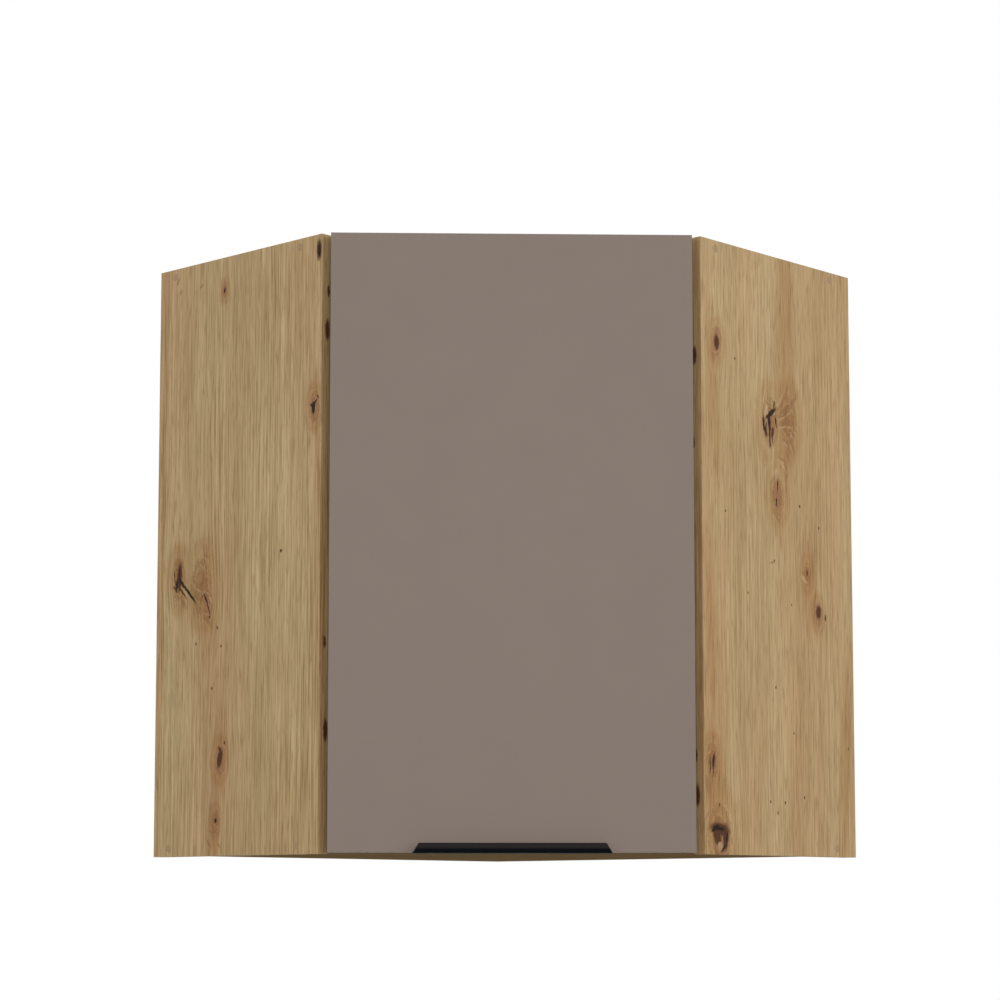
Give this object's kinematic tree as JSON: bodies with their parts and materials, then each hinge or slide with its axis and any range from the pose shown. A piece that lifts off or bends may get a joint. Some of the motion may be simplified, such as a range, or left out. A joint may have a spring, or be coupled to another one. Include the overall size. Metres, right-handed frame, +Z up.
{
  "type": "diagonal corner wall cabinet",
  "caption": "Kitchen wall cabinet for a room corner: oak-look carcass with shelves, diagonal front, plain taupe door on concealed hinges, black edge handle below.",
  "frame": {"origin": "centre of the bounding box's bottom face", "axes": "+X to the right of someone facing the door, +Y from the door towards the room corner, +Z up"},
  "size_m": [0.8486, 0.6604, 0.716],
  "materials": {
    "oak_laminate": "oak-effect melamine board, satin",
    "oak_edge_band": "oak-effect ABS edge band, satin",
    "taupe_front": "painted fibreboard, matt taupe",
    "taupe_edge_band": "matt taupe edge band",
    "hardboard": "hardboard, oak-effect inner face",
    "beech": "fluted beech, bare",
    "zinc_steel": "zinc-plated steel",
    "nickel_steel": "nickel-plated steel",
    "oak_cap": "moulded plastic, oak brown",
    "bracket_plastic": "moulded plastic, off-white",
    "clear_bumper": "clear soft polyurethane",
    "black_handle": "black anodised aluminium, satin"
  },
  "bodies": {
    "carcass": {"left_side_panel": "oak_laminate", "right_side_panel": "oak_laminate", "side_panel_edge_bands": "oak_edge_band", "top_panel": "oak_laminate", "bottom_panel": "oak_laminate", "top_and_bottom_edge_bands": "oak_edge_band", "lower_shelf": "oak_laminate", "upper_shelf": "oak_laminate", "shelf_edge_bands": "oak_edge_band", "rear_corner_post": "oak_laminate", "left_back_panel": "hardboard", "right_back_panel": "hardboard", "carcass_screws": "zinc_steel", "screw_cover_caps": "oak_cap", "wooden_dowels": "beech", "back_panel_nails": "zinc_steel", "shelf_pins": "nickel_steel", "hanging_bracket_housings": "bracket_plastic", "hanging_bracket_hooks": "zinc_steel", "hanging_bracket_adjusting_screws": "zinc_steel", "hanging_bracket_fixing_screws": "zinc_steel", "hinge_mounting_plates": "nickel_steel", "hinge_plate_screws": "zinc_steel", "hinge_arms": "nickel_steel", "hinge_arm_screws": "zinc_steel"},
    "door": {"door_panel": "taupe_front", "door_edge_bands": "taupe_edge_band", "door_bumpers": "clear_bumper", "edge_handle": "black_handle", "handle_screws": "zinc_steel", "hinge_cups": "nickel_steel", "hinge_cup_screws": "zinc_steel", "hinge_pins": "zinc_steel"}
  },
  "joints": [
    {"name": "door_swing", "type": "hinge", "parent": "carcass", "child": "door", "pos_m": [-0.201, -0.30066, 0.358], "axis": [0, 0, -1], "range_deg": [0, 95]}
  ]
}
